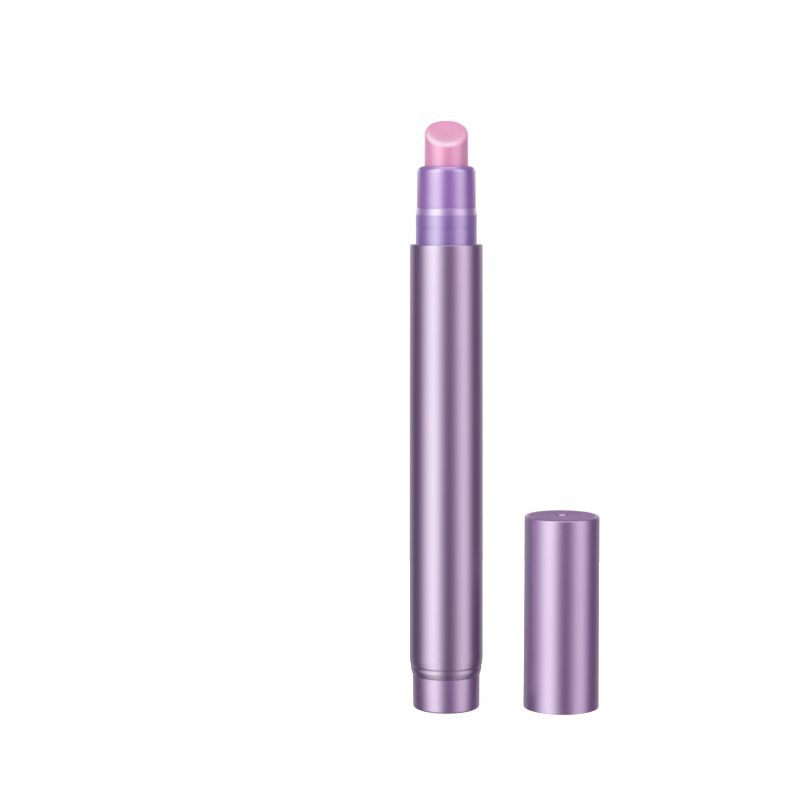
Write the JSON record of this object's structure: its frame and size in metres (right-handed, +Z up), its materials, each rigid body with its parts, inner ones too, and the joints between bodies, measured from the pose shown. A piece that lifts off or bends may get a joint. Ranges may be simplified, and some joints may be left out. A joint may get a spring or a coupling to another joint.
{
  "type": "nail oil pen",
  "caption": "Twist-up nail oil pen with a slanted silicone nib: a turning knob at the foot drives a screw and piston, with its cap stood beside it.",
  "frame": {"origin": "the pen's axis at the flat foot of its knob", "axes": "+Z up the pen towards the nib, -Y the way the nib's slanted face looks, +X from the pen to the cap beside it"},
  "size_m": [0.0337, 0.0134, 0.104],
  "materials": {
    "metallised": "metallised lilac lacquer, glossy, fine draw of the mould",
    "white_moulding": "plain white moulded plastic",
    "natural_moulding": "natural translucent moulded plastic",
    "acetal": "white acetal, slightly waxy",
    "rod_grey": "grey moulded plastic",
    "tinted_neck": "glossy violet tinted plastic, slightly translucent",
    "seal_rubber": "black rubber O-ring",
    "pink_silicone": "soft pink silicone, satin"
  },
  "bodies": {
    "barrel": {"barrel_shell": "metallised", "end_bush": "white_moulding", "ratchet_ring": "acetal", "thread_nut": "acetal", "reservoir_tube": "natural_moulding", "neck": "tinted_neck", "neck_seal": "seal_rubber", "nib_sleeve": "tinted_neck", "nib_core": "white_moulding", "feed_tube": "natural_moulding", "nib": "pink_silicone"},
    "knob": {"knob_cover": "metallised", "knob_core": "white_moulding", "drive_sleeve": "natural_moulding", "pawl_ring": "acetal"},
    "rod": {"screw_rod": "rod_grey"},
    "piston": {"piston": "natural_moulding"},
    "cap": {"cap_shell": "metallised", "cap_liner": "natural_moulding"}
  },
  "joints": [
    {"name": "knob_twist", "type": "hinge", "parent": "barrel", "child": "knob", "pos_m": [0, 0, 0.003], "axis": [0, 0, 1], "range_deg": [0, 4320], "deforming": ["pawl_ring"]},
    {"name": "rod_feed", "type": "slide", "parent": "knob", "child": "rod", "axis": [0, 0, 1], "range_m": [0, 0.03]},
    {"name": "piston_feed", "type": "slide", "parent": "barrel", "child": "piston", "axis": [0, 0, 1], "range_m": [0, 0.03]},
    {"name": "cap_lift", "type": "slide", "parent": "barrel", "child": "cap", "axis": [0, 0, 1], "range_m": [0, 0.11]}
  ],
  "couplings": [
    {"joint": "knob_twist", "follows": "rod_feed", "rad_per_m": 2513.3},
    {"joint": "piston_feed", "follows": "rod_feed", "ratio": 1}
  ]
}
